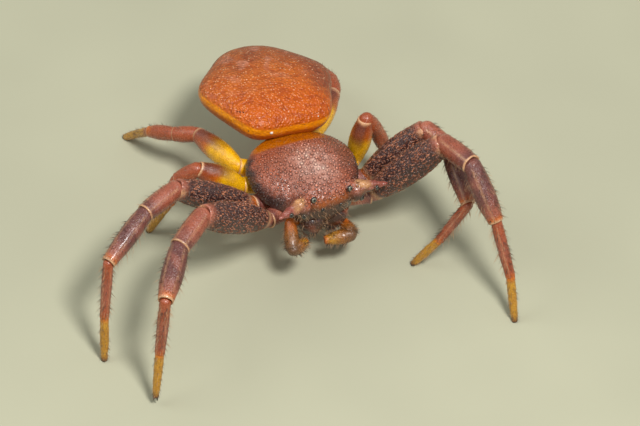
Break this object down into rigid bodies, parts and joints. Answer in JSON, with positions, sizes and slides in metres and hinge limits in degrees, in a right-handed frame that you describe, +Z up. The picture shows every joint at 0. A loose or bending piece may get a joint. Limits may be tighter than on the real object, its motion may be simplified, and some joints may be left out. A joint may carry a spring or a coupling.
{
  "type": "crab spider",
  "caption": "Life-size crab spider with eye horns, a five-sided abdomen and long, raised front legs, standing still on its feet.",
  "frame": {"origin": "on the floor, under the middle of the footprint of body and legs", "axes": "+Z up, the spider faces -Y, its left is +X"},
  "size_m": [0.0136, 0.0132, 0.0049],
  "materials": {
    "shield": "granular, slightly glossy chitin, red-brown with a darker rim",
    "abdomen": "finely wrinkled, granular, orange to brick red",
    "underside": "smooth, dull",
    "dark_limb": "densely granular, dark purple-brown",
    "red_limb": "smooth, satin, red-brown",
    "pale_limb": "smooth, slightly translucent, ochre yellow",
    "foot": "smooth, red-brown turning ochre towards the tip",
    "eye": "polished, black"
  },
  "bodies": {
    "root": {"carapace": "shield", "sternum": "underside", "pedicel": "underside", "abdomen": "abdomen", "spinnerets": "underside", "chelicera_left": "dark_limb", "chelicera_right": "dark_limb", "eye_ame_left": "eye", "eye_ame_right": "eye", "eye_ale_left": "eye", "eye_ale_right": "eye", "eye_pme_left": "eye", "eye_pme_right": "eye", "eye_ple_left": "eye", "eye_ple_right": "eye", "palp_left_base": "pale_limb", "palp_left_tip": "pale_limb", "palp_right_base": "pale_limb", "palp_right_tip": "pale_limb", "leg_left_1_coxa": "pale_limb", "leg_left_1_femur": "dark_limb", "leg_left_1_patella": "red_limb", "leg_left_1_tibia": "red_limb", "leg_left_1_foot": "foot", "leg_left_2_coxa": "pale_limb", "leg_left_2_femur": "dark_limb", "leg_left_2_patella": "red_limb", "leg_left_2_tibia": "red_limb", "leg_left_2_foot": "foot", "leg_left_3_coxa": "pale_limb", "leg_left_3_femur": "pale_limb", "leg_left_3_patella": "red_limb", "leg_left_3_tibia": "red_limb", "leg_left_3_foot": "foot", "leg_left_4_coxa": "pale_limb", "leg_left_4_femur": "pale_limb", "leg_left_4_patella": "red_limb", "leg_left_4_tibia": "red_limb", "leg_left_4_foot": "foot", "leg_right_1_coxa": "pale_limb", "leg_right_1_femur": "dark_limb", "leg_right_1_patella": "red_limb", "leg_right_1_tibia": "red_limb", "leg_right_1_foot": "foot", "leg_right_2_coxa": "pale_limb", "leg_right_2_femur": "dark_limb", "leg_right_2_patella": "red_limb", "leg_right_2_tibia": "red_limb", "leg_right_2_foot": "foot", "leg_right_3_coxa": "pale_limb", "leg_right_3_femur": "pale_limb", "leg_right_3_patella": "red_limb", "leg_right_3_tibia": "red_limb", "leg_right_3_foot": "foot", "leg_right_4_coxa": "pale_limb", "leg_right_4_femur": "pale_limb", "leg_right_4_patella": "red_limb", "leg_right_4_tibia": "red_limb", "leg_right_4_foot": "foot"}
  },
  "joints": []
}
